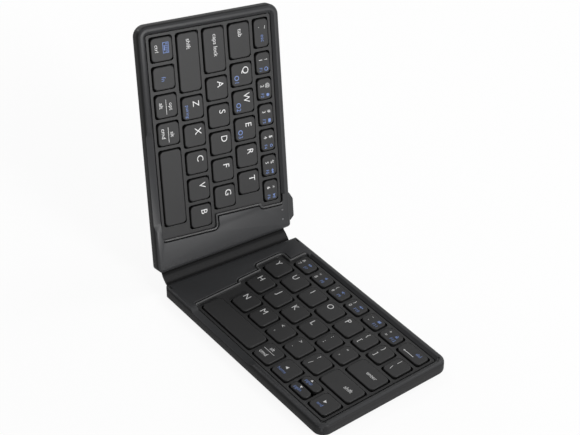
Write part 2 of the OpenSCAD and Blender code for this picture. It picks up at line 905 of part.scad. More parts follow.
right_keys(["7", "8", "9", "0", "-", "=", "delete"]);  // keys_number_row_right
right_keys(["[", "]", "\\", ";", "'", ",", ".", "/"]);  // keys_punctuation
right_keys(["alt", "left", "updown", "right"]);  // keys_arrow_cluster
right_keys(["y"]);  // key_y
right_keys(["u"]);  // key_u
right_keys(["i"]);  // key_i
right_keys(["o"]);  // key_o
right_keys(["p"]);  // key_p
right_keys(["h"]);  // key_h
right_keys(["j"]);  // key_j
right_keys(["k"]);  // key_k
right_keys(["l"]);  // key_l
right_keys(["n"]);  // key_n
right_keys(["m"]);  // key_m
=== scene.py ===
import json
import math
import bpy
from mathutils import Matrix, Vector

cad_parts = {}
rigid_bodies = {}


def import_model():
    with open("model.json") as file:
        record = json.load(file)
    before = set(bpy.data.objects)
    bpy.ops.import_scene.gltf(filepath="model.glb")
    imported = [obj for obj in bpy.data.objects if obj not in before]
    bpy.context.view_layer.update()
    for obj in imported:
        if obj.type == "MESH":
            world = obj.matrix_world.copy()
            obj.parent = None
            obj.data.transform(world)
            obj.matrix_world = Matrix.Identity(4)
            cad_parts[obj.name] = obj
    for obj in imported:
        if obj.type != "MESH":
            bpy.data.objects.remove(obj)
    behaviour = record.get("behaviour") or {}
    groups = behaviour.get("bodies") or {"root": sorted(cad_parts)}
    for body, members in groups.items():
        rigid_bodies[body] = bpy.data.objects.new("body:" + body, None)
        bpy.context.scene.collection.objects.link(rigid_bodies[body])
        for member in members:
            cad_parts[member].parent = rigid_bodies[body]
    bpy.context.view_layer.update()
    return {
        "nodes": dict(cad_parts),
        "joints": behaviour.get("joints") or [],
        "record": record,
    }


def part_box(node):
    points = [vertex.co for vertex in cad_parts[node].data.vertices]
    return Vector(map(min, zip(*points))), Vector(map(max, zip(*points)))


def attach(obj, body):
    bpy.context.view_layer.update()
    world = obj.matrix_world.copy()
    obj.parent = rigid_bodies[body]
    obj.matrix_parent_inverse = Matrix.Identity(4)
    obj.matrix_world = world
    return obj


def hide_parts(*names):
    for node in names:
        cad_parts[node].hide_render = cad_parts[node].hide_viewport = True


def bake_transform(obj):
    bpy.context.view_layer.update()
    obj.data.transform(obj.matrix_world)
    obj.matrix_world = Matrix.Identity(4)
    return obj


bl_info = {
    "name": "Folding Keyboard",
    "version": (1, 0, 0),
    "blender": (4, 5, 0),
    "location": "View3D > Sidebar > Keyboard",
    "description": "Dresses a folding keyboard: key caps with legends, soft creases, moulded finishes",
    "category": "Object",
}

import bmesh
import bpy
from bpy.props import FloatProperty, FloatVectorProperty, IntProperty, PointerProperty
from mathutils import Matrix, Vector

MM = 0.001
MERGE_DISTANCE = 1e-6

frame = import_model()
JOINTS = {joint["name"]: joint for joint in frame["joints"]}
NODES = frame["nodes"]

# ---- places taken from the frame ---------------------------------------------

KEY_PITCH = 17 * MM
NUMBER_DEPTH = 10.2 * MM
MID_Y = (4 * KEY_PITCH + NUMBER_DEPTH) / 2
KEY_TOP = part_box("key_y")[1].z
KEY_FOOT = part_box("key_y")[0].z
RIM_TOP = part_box("right_top_cover")[1].z
RIGHT_CREASE = Vector(JOINTS["right_crease"]["pos_m"])
LEFT_CREASE = Vector(JOINTS["left_crease"]["pos_m"])
SPLAY = math.atan2(*JOINTS["right_crease"]["axis"][:2])
CREASE_GAP = (LEFT_CREASE - RIGHT_CREASE).length
BEND = math.asin((LEFT_CREASE.z - RIGHT_CREASE.z) / CREASE_GAP)


def turn_z(angle):
    return Matrix.Rotation(angle, 4, "Z")


def turn_y(angle):
    return Matrix.Rotation(angle, 4, "Y")


# A half is drawn as the typist sees it: x to the right, y to the back, z up
# from its underside, with the crease crossing x = 0 at MID_Y.
SPINE = Matrix.Translation(RIGHT_CREASE) @ turn_z(-SPLAY) @ turn_y(BEND)
RIGHT = Matrix.Translation((RIGHT_CREASE.x, -MID_Y, 0))
LEFT = (
    SPINE
    @ Matrix.Translation((-CREASE_GAP, 0, 0))
    @ turn_y(BEND)
    @ turn_z(-SPLAY)
    @ Matrix.Translation((0, -MID_Y, -RIGHT_CREASE.z))
)

# ---- what is printed on the keys ----------------------------------------------
# Each key holds marks of (text or sign, ink, x, y, size in mm), counted from its
# centre. Keys of a node run from front to back, and in a row from left to right.

WHITE, BLUE = "white", "blue"
LEFT_LETTER = (-2.3, 2.2, 5.9)
RIGHT_LETTER = (-3.3, 2.7, 5.7)
RIGHT_LETTERS = "yuiophjklnm"
PAIR_MARKS = {"q": "1", "w": "2", "e": "3"}
INK_WEIGHT = {WHITE: -0.001, BLUE: -0.006}


def letter_marks(letter):
    marks = [(letter.upper(), WHITE, *(RIGHT_LETTER if letter in RIGHT_LETTERS else LEFT_LETTER))]
    if letter in PAIR_MARKS:
        marks += [("ring", BLUE, 1.8, -3.6, 3.1), (PAIR_MARKS[letter], BLUE, 4.6, -3.6, 4.0)]
    if letter == "z":
        marks += [("pairing", BLUE, 1.9, -4.0, 3.0)]
    return marks


def number_marks(upper, lower, sign, label, x=1.0):
    return [
        (upper, WHITE, x - 3.0, 1.9, 3.2),
        (lower, WHITE, x - 3.0, -1.6, 3.2),
        (sign, BLUE, x + 2.8, 1.9, 2.5),
        (label, BLUE, x + 2.9, -1.7, 2.9),
    ]


def two_line_marks(top, bottom, x=0.5, y=-0.2):
    return [
        (top, WHITE, x, y + 2.5, 3.4),
        ("line", WHITE, x, y, 9.2),
        (bottom, WHITE, x - 1.2, y - 3.2, 3.7),
    ]


def comma_marks(upper, lower, x=-2.3):
    return [(upper, WHITE, x, 3.8, 3.9), (lower, WHITE, x, -2.4, 4.2)]


def arrow_marks(arrow, label, x=-1.4, y=1.0, gap=3.4, size=2.7):
    return [(arrow, WHITE, x, y, size), (label, BLUE, x - 0.3, y - gap, 3.0)]


MARKS = {
    "key_tab": [[("tab", WHITE, -4.7, 0.5, 3.9)]],
    "key_caps_lock": [[("caps lock", WHITE, -2.7, 0.3, 3.7)]],
    "key_shift_left": [[("shift", WHITE, -10.9, 0.2, 3.8)]],
    "key_space_left": [[]],
    "key_space_right": [[]],
    "key_enter": [[("enter", WHITE, 2.8, 0.6, 3.6)]],
    "key_shift_right": [[("shift", WHITE, 4.7, 0.4, 3.7)]],
    "keys_modifier_left": [
        [("keyboard", BLUE, -0.7, 2.6, 5.4), ("ctrl", WHITE, -0.8, -3.3, 3.4)],
        [("fn", BLUE, 0.4, -0.4, 4.0)],
        two_line_marks("opt", "alt"),
        two_line_marks("alt", "cmd"),
    ],
    "keys_number_row_left": [
        [("~", WHITE, -3.4, 2.5, 3.4), ("`", WHITE, -3.7, -1.6, 3.8), ("esc", BLUE, 3.2, 0.4, 3.5)],
        number_marks("!", "1", "ring", "F1"),
        number_marks("@", "2", "disc", "F2"),
        number_marks("#", "3", "square", "F3"),
        number_marks("$", "4", "lens", "F4"),
        number_marks("%", "5", "back", "F5"),
        number_marks("^", "6", "play", "F6"),
    ],
    "keys_number_row_right": [
        number_marks("&", "7", "forward", "F7", -1.1),
        number_marks("*", "8", "speaker", "F8", -1.1),
        number_marks("(", "9", "quieter", "F9", -1.1),
        number_marks(")", "0", "louder", "F10", -0.6),
        number_marks("_", "-", "square", "F11", 0.0),
        number_marks("+", "=", "lock", "F12", 0.0),
        [("backspace", WHITE, -1.8, -1.9, 8.5), ("del", BLUE, 3.5, 1.4, 3.3)],
    ],
    "keys_punctuation": [
        comma_marks("<", ",", -3.4),
        comma_marks(">", ".", -3.2),
        comma_marks("?", "/", -3.1),
        comma_marks(":", ";"),
        comma_marks('"', "'"),
        comma_marks("{", "["),
        comma_marks("}", "]"),
        comma_marks("|", "\\"),
    ],
    "keys_arrow_cluster": [
        two_line_marks("alt", "cmd", -1.3, 1.1),
        arrow_marks("left", "home"),
        arrow_marks("down", "pgdn", -1.5, 1.6, 2.4, 2.1),
        arrow_marks("up", "pgup", -1.5, 1.6, 2.4, 2.1),
        arrow_marks("right", "end"),
    ],
}
for letter in "abcdefghijklmnopqrstuvwxyz":
    MARKS[f"key_{letter}"] = [letter_marks(letter)]

# ---- settings ------------------------------------------------------------------


class KeyboardShape(bpy.types.PropertyGroup):
    """Sizes of the key caps, legends and creases"""

    cap_radius: FloatProperty(
        name="Cap corner", description="Plan radius of a cap's corners", default=3.0 * MM, unit="LENGTH"
    )
    cap_draft: FloatProperty(
        name="Cap draft", description="How far a cap's sides lean in", default=0.4 * MM, unit="LENGTH"
    )
    cap_edge: FloatProperty(
        name="Cap edge", description="Rounding of a cap's top edge", default=0.55 * MM, unit="LENGTH"
    )
    ink_height: FloatProperty(
        name="Ink", description="How far the legends stand above a cap", default=0.02 * MM, unit="LENGTH"
    )
    skin_length: FloatProperty(
        name="Skin length", description="Length of the spine skin along the creases",
        default=86 * MM, unit="LENGTH",
    )
    skin_thickness: FloatProperty(
        name="Skin thickness", description="Thickness of the spine skin between creases",
        default=2 * MM, unit="LENGTH",
    )
    web_thickness: FloatProperty(
        name="Web thickness", description="Thickness of the skin at a crease", default=0.9 * MM, unit="LENGTH"
    )
    cover_edge: FloatProperty(
        name="Cover edge", description="Rounding of a top cover beside the lip",
        default=0.35 * MM, unit="LENGTH",
    )
    lip_edge: FloatProperty(
        name="Lip edge", description="Rounding of the key deck's lip", default=0.6 * MM, unit="LENGTH"
    )
    corner_steps: IntProperty(
        name="Corner steps", description="Segments in each rounded corner of a cap", default=6, min=2, max=16
    )


class KeyboardFinish(bpy.types.PropertyGroup):
    """Colours of the keyboard, with painted shade for the cap sides, outer walls and folds and a painted
    highlight for the deck's lip
    """

    cap_colour: FloatVectorProperty(
        name="Caps", description="Colour of the key caps", subtype="COLOR", default=(0.031, 0.031, 0.0315)
    )
    # painted shade: the sides of the caps are coloured near black to stand for the shade in the gaps around
    # the keys
    cap_wall_shade_colour: FloatVectorProperty(
        name="Cap wall shades", description="Colour of the sides of the key caps", subtype="COLOR",
        default=(0.006, 0.006, 0.006),
    )
    shell_colour: FloatVectorProperty(
        name="Shell", description="Colour of the covers", subtype="COLOR", default=(0.031, 0.0315, 0.033)
    )
    deck_colour: FloatVectorProperty(
        name="Deck", description="Colour of the key deck", subtype="COLOR", default=(0.028, 0.028, 0.0285)
    )
    # painted highlight: the rounded edges at the deck's lip are coloured lighter to stand for light caught on
    # the rounding
    edge_highlight_colour: FloatVectorProperty(
        name="Painted edge highlights", description="Colour of the rounded edges at the step", subtype="COLOR",
        default=(0.055, 0.055, 0.056),
    )
    base_colour: FloatVectorProperty(
        name="Base", description="Colour of the bottom covers", subtype="COLOR",
        default=(0.016, 0.016, 0.0165),
    )
    # painted shade: the covers' outer walls are coloured darker to stand for the shade on walls that turn
    # away from the light
    painted_wall_shade_colour: FloatVectorProperty(
        name="Outer wall shade", description="Colour of the covers' outer walls", subtype="COLOR",
        default=(0.02, 0.02, 0.0205),
    )
    # painted shade: the skin inside the creases is coloured near black to stand for the shade in the folds
    fold_shade_colour: FloatVectorProperty(
        name="Fold shade", description="Colour inside the creases", subtype="COLOR", default=(0.004, 0.004, 0.004)
    )
    skin_colour: FloatVectorProperty(
        name="Skin", description="Colour of the spine skin", subtype="COLOR", default=(0.014, 0.014, 0.0145)
    )
    white_ink: FloatVectorProperty(
        name="White ink", description="Colour of the main legends", subtype="COLOR",
        default=(0.66, 0.66, 0.66),
    )
    blue_ink: FloatVectorProperty(
        name="Blue ink", description="Colour of the second legends", subtype="COLOR",
        default=(0.12, 0.19, 0.42),
    )


# ---- finishes --------------------------------------------------------------------


def socket(group, name, way, kind, value=None):
    made = group.interface.new_socket(name=name, in_out=way, socket_type=kind)
    if value is not None:
        made.default_value = value
    return made


def moulded_grain_group():
    """Spark-eroded grain with faint mottling; edges are eased in shading, a little polished and lightened in
    colour as a painted highlight
    """
    name = "Moulded grain"
    if name in bpy.data.node_groups:
        return bpy.data.node_groups[name]
    group = bpy.data.node_groups.new(name, "ShaderNodeTree")
    socket(group, "Colour", "INPUT", "NodeSocketColor", (0.05, 0.05, 0.05, 1))
    socket(group, "Grain per metre", "INPUT", "NodeSocketFloat", 5000)
    socket(group, "Roughness", "INPUT", "NodeSocketFloat", 0.5)
    socket(group, "Depth", "INPUT", "NodeSocketFloat", 0.2)
    socket(group, "Mottle", "INPUT", "NodeSocketFloat", 0.1)
    socket(group, "Edge highlight amount", "INPUT", "NodeSocketFloat", 1.0)
    socket(group, "Edge radius", "INPUT", "NodeSocketFloat", 0.0003)
    socket(group, "Colour", "OUTPUT", "NodeSocketColor")
    socket(group, "Roughness", "OUTPUT", "NodeSocketFloat")
    socket(group, "Normal", "OUTPUT", "NodeSocketVector")
    nodes, links = group.nodes, group.links

    def math_node(operation, first, second):
        node = nodes.new("ShaderNodeMath")
        node.operation = operation
        for slot_index, value in enumerate((first, second)):
            if isinstance(value, (int, float)):
                node.inputs[slot_index].default_value = value
            else:
                links.new(value, node.inputs[slot_index])
        return node.outputs[0]

    given = nodes.new("NodeGroupInput")
    out = nodes.new("NodeGroupOutput")
    place = nodes.new("ShaderNodeTexCoord")
    grain = nodes.new("ShaderNodeTexNoise")
    grain.inputs["Detail"].default_value = 2
    cloud = nodes.new("ShaderNodeTexNoise")
    cloud.inputs["Scale"].default_value = 60
    cloud.inputs["Detail"].default_value = 3
    links.new(place.outputs["Object"], grain.inputs["Vector"])
    links.new(place.outputs["Object"], cloud.inputs["Vector"])
    links.new(given.outputs["Grain per metre"], grain.inputs["Scale"])
    swing = nodes.new("ShaderNodeMapRange")
    swing.inputs["To Min"].default_value = -1
    links.new(cloud.outputs["Fac"], swing.inputs["Value"])
    mottle = math_node("ADD", math_node("MULTIPLY", swing.outputs["Result"], given.outputs["Mottle"]), 1)
    # how far the eased normal leans away from the face: 0 on a flat, 1 on an edge
    eased = nodes.new("ShaderNodeBevel")
    eased.samples = 6
    links.new(given.outputs["Edge radius"], eased.inputs["Radius"])
    flat = nodes.new("ShaderNodeNewGeometry")
    lean = nodes.new("ShaderNodeVectorMath")
    lean.operation = "DOT_PRODUCT"
    links.new(eased.outputs["Normal"], lean.inputs[0])
    links.new(flat.outputs["Normal"], lean.inputs[1])
    edge = nodes.new("ShaderNodeMapRange")
    edge.inputs["From Min"].default_value = 1.0
    edge.inputs["From Max"].default_value = 0.8
    links.new(lean.outputs["Value"], edge.inputs["Value"])
    # painted highlight: the colour is made lighter on the eased edges, in proportion to the edge mask and the
    # edge amount
    highlight_gain = math_node("ADD", math_node("MULTIPLY", edge.outputs["Result"], given.outputs["Edge highlight amount"]), 1)
    tint = nodes.new("ShaderNodeVectorMath")
    tint.operation = "SCALE"
    links.new(given.outputs["Colour"], tint.inputs[0])
    links.new(math_node("MULTIPLY", mottle, highlight_gain), tint.inputs["Scale"])
    polish = math_node("SUBTRACT", 1, math_node("MULTIPLY", edge.outputs["Result"], 0.2))
    rough = math_node("MULTIPLY", given.outputs["Roughness"], math_node("MULTIPLY", mottle, polish))
    bump = nodes.new("ShaderNodeBump")
    bump.inputs["Distance"].default_value = 0.00005
    links.new(given.outputs["Depth"], bump.inputs["Strength"])
    links.new(grain.outputs["Fac"], bump.inputs["Height"])
    links.new(eased.outputs["Normal"], bump.inputs["Normal"])
    links.new(tint.outputs[0], out.inputs["Colour"])
    links.new(rough, out.inputs["Roughness"])
    links.new(bump.outputs["Normal"], out.inputs["Normal"])
    return group


def moulded(name, colour, roughness=0.5, depth=0.25, mottle=0.06, grain=5000, metal=0.0,
            shine=0.5, edge_highlight_amount=0.0, edge_radius=0.2):
    """A material whose colour, roughness and normal come from the grain group"""
    if name in bpy.data.materials:
        return bpy.data.materials[name]
    made = bpy.data.materials.new(name)
    made.use_nodes = True
    nodes, links = made.node_tree.nodes, made.node_tree.links
    shader = nodes["Principled BSDF"]
    shader.inputs["Metallic"].default_value = metal
    shader.inputs["Specular IOR Level"].default_value = shine
    group = nodes.new("ShaderNodeGroup")
    group.node_tree = moulded_grain_group()
    group.inputs["Colour"].default_value = (*colour, 1)
    group.inputs["Grain per metre"].default_value = grain
    group.inputs["Roughness"].default_value = roughness
    group.inputs["Depth"].default_value = depth
    group.inputs["Mottle"].default_value = mottle
    group.inputs["Edge highlight amount"].default_value = edge_highlight_amount
    group.inputs["Edge radius"].default_value = edge_radius * MM
    links.new(group.outputs["Colour"], shader.inputs["Base Color"])
    links.new(group.outputs["Roughness"], shader.inputs["Roughness"])
    links.new(group.outputs["Normal"], shader.inputs["Normal"])
    return made


def finishes():
    """Every finish by name, from the colours in the panel"""
    look = bpy.context.scene.keyboard_finish
    return {
        "keycap": moulded("Cap plastic", look.cap_colour, 0.4, 0.22, shine=0.13),
        # painted shade: a dark, dull material on the cap sides for the shade in the gaps
        "cap_wall_shade": moulded("Cap wall shade", look.cap_wall_shade_colour, 0.6, 0.22, shine=0.08),
        # the edge amounts below lighten the colour on edges as a painted highlight
        "shell_upper": moulded("Cover plastic", look.shell_colour, 0.38, 0.3, shine=0.16,
                               edge_highlight_amount=0.5, edge_radius=0.5),
        "key_deck": moulded("Deck plastic", look.deck_colour, 0.38, 0.3, shine=0.16,
                            edge_highlight_amount=0.8, edge_radius=0.3),
        # painted highlight: a light, glossier material for the rounded lip of the deck
        "painted_edge_highlight": moulded("Painted edge highlight", look.edge_highlight_colour, 0.3, 0.15, shine=0.35),
        "shell_lower": moulded("Base plastic", look.base_colour, 0.6, 0.4, shine=0.15,
                               edge_highlight_amount=0.2, edge_radius=0.6),
        # painted shade: a darker, dull material for the covers' outer walls
        "cover_wall": moulded("Painted wall shade", look.painted_wall_shade_colour, 0.55, 0.3, shine=0.08),
        "spine_fabric": moulded("Spine skin", look.skin_colour, 0.62, 0.5, 0.1, 2600, shine=0.18),
        # painted shade: a near black material for the skin inside the creases
        "crease_shade": moulded("Crease shade", look.fold_shade_colour, 0.7, 0.5, 0.1, 2600, shine=0.06),
        "white_ink": moulded("White ink", look.white_ink, 0.6, 0.05, 0.02),
        "blue_ink": moulded("Blue ink", look.blue_ink, 0.6, 0.05, 0.02),
        "steel_plate": moulded("Stamped steel", (0.55, 0.56, 0.57), 0.35, 0.2, 0.08, 3000, 1.0),
        "membrane": moulded("Switch film", (0.012, 0.012, 0.013), 0.3, 0.05, 0.05, shine=0.2),
        "dome_rubber": moulded("Dome rubber", (0.68, 0.68, 0.64), 0.6, 0.2, 0.04),
        "scissor_plastic": moulded("Link plastic", (0.8, 0.8, 0.76), 0.4, 0.1, 0.03),
        "battery_foil": moulded("Battery foil", (0.5, 0.51, 0.54), 0.32, 0.3, 0.08, 1500, 0.9),
        "circuit_board": moulded("Board mask", (0.02, 0.14, 0.05), 0.35, 0.15, 0.15, 2500),
        "socket_steel": moulded("Socket steel", (0.5, 0.5, 0.52), 0.3, 0.15, 0.05, 3000, 1.0),
        "light_pipe": moulded("Light pipe", (0.1, 0.1, 0.105), 0.4, 0.05, 0.03),
        "cable_film": moulded("Cable film", (0.5, 0.26, 0.06), 0.35, 0.1, 0.05),
    }


SLOT_OF = {part["node"]: part["material_slot"] for part in frame["record"]["subparts"]}


# ---- mesh helpers -----------------------------------------------------------------


def new_object(name, mesh):
    made = bpy.data.objects.new(name, mesh)
    bpy.context.scene.collection.objects.link(made)
    return made


def evaluated_mesh(source):
    """The plain mesh of an object with its modifiers or text applied"""
    graph = bpy.context.evaluated_depsgraph_get()
    graph.update()
    return bpy.data.meshes.new_from_object(source.evaluated_get(graph))


def smooth(mesh, angle=32):
    mesh.shade_smooth()
    bm = bmesh.new()
    bm.from_mesh(mesh)
    for edge in bm.edges:
        if len(edge.link_faces) == 2 and edge.calc_face_angle() > math.radians(angle):
            edge.smooth = False
    bm.to_mesh(mesh)
    bm.free()


def rounded_ring(half_w, half_d, radius, steps):
    """Points of a rounded rectangle, anticlockwise"""
    points = []
    for quarter in range(4):
        cx = (half_w - radius) * (1 if quarter in (0, 3) else -1)
        cy = (half_d - radius) * (1 if quarter in (0, 1) else -1)
        for step in range(steps + 1):
            turn = math.pi / 2 * (quarter + step / steps)
            points.append((cx + radius * math.cos(turn), cy + radius * math.sin(turn)))
    return points


def loft(rings, name):
    """Closed skin through rings of equal point counts, capped at both ends"""
    bm = bmesh.new()
    made = [[bm.verts.new(point) for point in ring] for ring in rings]
    count = len(rings[0])
    for low, high in zip(made, made[1:]):
        for i in range(count):
            bm.faces.new((low[i], low[(i + 1) % count], high[(i + 1) % count], high[i]))
    bm.faces.new(list(reversed(made[0])))
    bm.faces.new(made[-1])
    mesh = bpy.data.meshes.new(name)
    bm.to_mesh(mesh)
    bm.free()
    return mesh


# ---- key caps ----------------------------------------------------------------------

REFERENCE_HALF = 5 * MM


def reference_cap():
    """One cap of the reference size, its foot at KEY_FOOT, that the tree stretches"""
    shape = bpy.context.scene.keyboard_shape
    edge = shape.cap_edge
    rings = []

    def ring(inset, z):
        radius = max(shape.cap_radius - inset, 0.2 * MM)
        flat = rounded_ring(REFERENCE_HALF - inset, REFERENCE_HALF - inset, radius, shape.corner_steps)
        rings.append([(x, y, z) for x, y in flat])

    ring(0, KEY_FOOT)
    ring(0.05 * MM, KEY_FOOT + 0.1 * MM)
    ring(shape.cap_draft * 0.9, KEY_TOP - edge)
    for step in range(1, 5):
        turn = math.pi / 2 * step / 4
        ring(shape.cap_draft + edge * (1 - math.cos(turn)), KEY_TOP - edge * (1 - math.sin(turn)))
    ring(shape.cap_draft + edge + 0.08 * MM, KEY_TOP)
    return new_object("cap_reference", loft(rings, "cap_reference"))


def cap_tree(finish):
    """Puts a cap on each point and stretches it to the point's half width and half depth"""
    tree = bpy.data.node_groups.new("Cap on each point", "GeometryNodeTree")
    socket(tree, "Geometry", "INPUT", "NodeSocketGeometry")
    socket(tree, "Cap", "INPUT", "NodeSocketObject")
    socket(tree, "Reference half", "INPUT", "NodeSocketFloat", REFERENCE_HALF)
    socket(tree, "Geometry", "OUTPUT", "NodeSocketGeometry")
    nodes, links = tree.nodes, tree.links
    given = nodes.new("NodeGroupInput")
    out = nodes.new("NodeGroupOutput")
    cap = nodes.new("GeometryNodeObjectInfo")
    links.new(given.outputs["Cap"], cap.inputs["Object"])
    keep = nodes.new("GeometryNodeStoreNamedAttribute")
    keep.data_type = "FLOAT_VECTOR"
    keep.domain = "POINT"
    keep.inputs["Name"].default_value = "local"
    where = nodes.new("GeometryNodeInputPosition")
    links.new(cap.outputs["Geometry"], keep.inputs["Geometry"])
    links.new(where.outputs[0], keep.inputs["Value"])
    points = nodes.new("GeometryNodeMeshToPoints")
    links.new(given.outputs["Geometry"], points.inputs["Mesh"])
    put = nodes.new("GeometryNodeInstanceOnPoints")
    links.new(points.outputs["Points"], put.inputs["Points"])
    links.new(keep.outputs["Geometry"], put.inputs["Instance"])
    real = nodes.new("GeometryNodeRealizeInstances")
    links.new(put.outputs["Instances"], real.inputs["Geometry"])

    def named(name, kind):
        node = nodes.new("GeometryNodeInputNamedAttribute")
        node.data_type = kind
        node.inputs["Name"].default_value = name
        return node.outputs["Attribute"]

    def math_node(operation, *values):
        node = nodes.new("ShaderNodeMath")
        node.operation = operation
        for slot_index, value in enumerate(values):
            links.new(value, node.inputs[slot_index])
        return node.outputs[0]

    parts = nodes.new("ShaderNodeSeparateXYZ")
    links.new(named("local", "FLOAT_VECTOR"), parts.inputs[0])
    move = nodes.new("ShaderNodeCombineXYZ")
    for axis, size in (("X", "half_w"), ("Y", "half_d")):
        grow = math_node("SUBTRACT", named(size, "FLOAT"), given.outputs["Reference half"])
        side = math_node("SIGN", parts.outputs[axis])
        links.new(math_node("MULTIPLY", side, grow), move.inputs[axis])
    stretch = nodes.new("GeometryNodeSetPosition")
    links.new(real.outputs["Geometry"], stretch.inputs["Geometry"])
    links.new(move.outputs[0], stretch.inputs["Offset"])
    paint = nodes.new("GeometryNodeSetMaterial")
    paint.inputs["Material"].default_value = finish
    links.new(stretch.outputs["Geometry"], paint.inputs["Geometry"])
    links.new(paint.outputs["Geometry"], out.inputs["Geometry"])
    return tree


def key_outlines(node, place):
    """(centre x, centre y, half width, half depth) of each key in a CAD node, row by row"""
    back = place.inverted()
    bm = bmesh.new()
    bm.from_mesh(NODES[node].data)
    bmesh.ops.remove_doubles(bm, verts=bm.verts, dist=MERGE_DISTANCE)
    left_over = set(bm.verts)
    found = []
    while left_over:
        stack = [left_over.pop()]
        island = []
        while stack:
            vert = stack.pop()
            island.append(back @ vert.co)
            for edge in vert.link_edges:
                other = edge.other_vert(vert)
                if other in left_over:
                    left_over.remove(other)
                    stack.append(other)
        xs = [point.x for point in island]
        ys = [point.y for point in island]
        found.append(((min(xs) + max(xs)) / 2, (min(ys) + max(ys)) / 2,
                      (max(xs) - min(xs)) / 2, (max(ys) - min(ys)) / 2))
    bm.free()
    cluster = node == "keys_arrow_cluster"
    return sorted(found, key=lambda k: (0 if cluster else round(k[1] / KEY_PITCH), round(k[0] / MM), k[1]))


# ---- legends ------------------------------------------------------------------------


def text_mesh(text, size, thickness, weight):
    """Flat lettering with the middle of its outline on the origin"""
    curve = bpy.data.curves.new("legend", "FONT")
    curve.body = text
    curve.size = size
    curve.align_x = "CENTER"
    curve.align_y = "CENTER"
    curve.extrude = thickness
    curve.offset = weight * size
    curve.resolution_u = 3
    holder = new_object("legend", curve)
    mesh = evaluated_mesh(holder)
    bpy.data.objects.remove(holder)
    middle = [(min(v.co[i] for v in mesh.vertices) + max(v.co[i] for v in mesh.vertices)) / 2 for i in (0, 1)]
    mesh.transform(Matrix.Translation((-middle[0], -middle[1], 0)))
    return mesh


def circle_points(radius, cx=0.0, cy=0.0, steps=20):
    return [
        (cx + radius * math.cos(2 * math.pi * i / steps), cy + radius * math.sin(2 * math.pi * i / steps))
        for i in range(steps)
    ]


def rect_points(x0, y0, x1, y1):
    return [(x0, y0), (x1, y0), (x1, y1), (x0, y1)]


def triangle_points(cx, cy, r, turn):
    return [
        (cx + r * math.cos(turn + 2 * math.pi * i / 3), cy + r * math.sin(turn + 2 * math.pi * i / 3))
        for i in range(3)
    ]


def sign_outlines(sign):
    """Outlines of a plain sign in units of its size; a pair of outlines is a ring"""
    east, north, west, south = 0, math.pi / 2, math.pi, -math.pi / 2
    bar = rect_points
    speaker = [bar(-0.5, -0.16, -0.2, 0.16), [(-0.2, -0.16), (0.1, -0.42), (0.1, 0.42), (-0.2, 0.16)]]
    keys = [(x, y) for x in (-0.4, -0.2, 0, 0.2, 0.4) for y in (0.18, 0.03)]
    return {
        "ring": [(circle_points(0.5), circle_points(0.34))],
        "disc": [circle_points(0.4)],
        "square": [bar(-0.45, -0.3, 0.45, 0.35)],
        "lens": [(circle_points(0.36, -0.08, 0.08), circle_points(0.22, -0.08, 0.08)),
                 [(0.14, -0.24), (0.24, -0.14), (0.5, -0.4), (0.4, -0.5)]],
        "back": [triangle_points(-0.25, 0, 0.4, west), triangle_points(0.3, 0, 0.4, west)],
        "forward": [triangle_points(-0.3, 0, 0.4, east), triangle_points(0.25, 0, 0.4, east)],
        "play": [triangle_points(-0.3, 0, 0.42, east),
                 bar(0.1, -0.34, 0.24, 0.34), bar(0.36, -0.34, 0.5, 0.34)],
        "speaker": speaker,
        "quieter": [*speaker, bar(0.24, -0.07, 0.6, 0.07)],
        "louder": [*speaker, bar(0.24, -0.07, 0.38, 0.07),
                   bar(0.38, -0.22, 0.52, 0.22), bar(0.52, -0.07, 0.66, 0.07)],
        "lock": [bar(-0.34, -0.45, 0.34, 0.05), (circle_points(0.26, 0, 0.14), circle_points(0.15, 0, 0.14))],
        "keyboard": [(bar(-0.6, -0.36, 0.6, 0.36), bar(-0.53, -0.29, 0.53, 0.29)),
                     bar(-0.3, -0.22, 0.3, -0.1),
                     *(bar(x - 0.06, y - 0.05, x + 0.06, y + 0.05) for x, y in keys)],
        "backspace": [bar(-0.4, -0.022, 0.5, 0.022), triangle_points(-0.42, 0, 0.09, west)],
        "line": [bar(-0.5, -0.014, 0.5, 0.014)],
        "left": [triangle_points(0, 0, 0.5, west)],
        "right": [triangle_points(0, 0, 0.5, east)],
        "up": [triangle_points(0, 0, 0.5, north)],
        "down": [triangle_points(0, 0, 0.5, south)],
    }.get(sign)


def sign_mesh(outlines, size, thickness):
    """Thin plates in the shape of the outlines"""
    bm = bmesh.new()

    def wall(low, high, flip):
        for i in range(len(low)):
            j = (i + 1) % len(low)
            corners = (low[i], low[j], high[j], high[i])
            bm.faces.new(tuple(reversed(corners)) if flip else corners)

    def loop(points, z):
        return [bm.verts.new((x * size, y * size, z)) for x, y in points]

    for outline in outlines:
        if isinstance(outline, tuple):
            outer, inner = outline
            rims = [[loop(points, z) for z in (-thickness, thickness)] for points in (outer, inner)]
            wall(*rims[0], False)
            wall(*rims[1], True)
            for level, flip in ((0, True), (1, False)):
                wall(rims[0][level], rims[1][level], flip)
        else:
            low, high = loop(outline, -thickness), loop(outline, thickness)
            wall(low, high, False)
            bm.faces.new(list(reversed(low)))
            bm.faces.new(high)
    mesh = bpy.data.meshes.new("sign")
    bm.to_mesh(mesh)
    bm.free()
    return mesh


def print_marks(bm, marks, centre, thickness):
    """Adds a key's marks to a mesh in the half's own frame; ink sets the material index"""
    for word, ink, x, y, size in marks:
        outlines = sign_outlines(word)
        if outlines:
            mesh = sign_mesh(outlines, size * MM, thickness)
        else:
            mesh = text_mesh(word, size * MM, thickness, INK_WEIGHT[ink])
        mesh.transform(Matrix.Translation((centre[0] + x * MM, centre[1] + y * MM, KEY_TOP)))
        first = len(bm.faces)
        bm.from_mesh(mesh)
        bm.faces.ensure_lookup_table()
        for face in bm.faces[first:]:
            face.material_index = 1 if ink == WHITE else 2
        bpy.data.meshes.remove(mesh)


